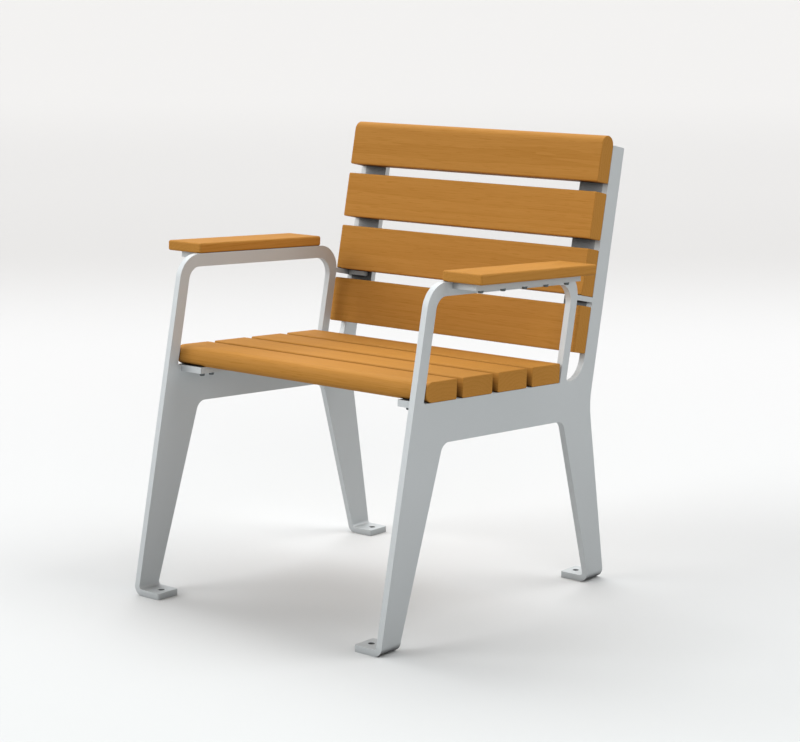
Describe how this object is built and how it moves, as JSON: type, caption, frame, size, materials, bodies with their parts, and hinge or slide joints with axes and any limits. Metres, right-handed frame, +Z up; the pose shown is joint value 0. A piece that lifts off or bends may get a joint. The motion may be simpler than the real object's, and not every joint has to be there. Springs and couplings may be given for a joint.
{
  "type": "outdoor armchair",
  "caption": "Outdoor armchair with leaning side frames cut from thick painted steel plate, feet folded inward for floor anchors, and timber slats for seat, back and arm boards",
  "frame": {"origin": "on the floor, at the middle of the chair's width and depth", "axes": "+Z up, +X to the right as seen from the front, +Y from the front to the back; a person sits facing -Y"},
  "size_m": [0.748, 0.6992, 0.8401],
  "materials": {
    "painted_steel": "satin powder coat",
    "timber": "satin oiled",
    "stainless_steel": "brushed"
  },
  "bodies": {
    "root": {"side_frame_left": "painted_steel", "side_frame_right": "painted_steel", "seat_support_bar_left": "painted_steel", "seat_support_bar_right": "painted_steel", "back_support_bar_left": "painted_steel", "back_support_bar_right": "painted_steel", "arm_support_bar_left": "painted_steel", "arm_support_bar_right": "painted_steel", "slat_rest_left": "painted_steel", "slat_rest_right": "painted_steel", "seat_slat_1": "timber", "seat_slat_2": "timber", "seat_slat_3": "timber", "seat_slat_4": "timber", "back_slat_1": "timber", "back_slat_2": "timber", "back_slat_3": "timber", "back_slat_4": "timber", "arm_board_left": "timber", "arm_board_right": "timber", "seat_screws_left": "stainless_steel", "seat_screws_right": "stainless_steel", "back_screws_left": "stainless_steel", "back_screws_right": "stainless_steel", "arm_screws_left": "stainless_steel", "arm_screws_right": "stainless_steel"}
  },
  "joints": []
}
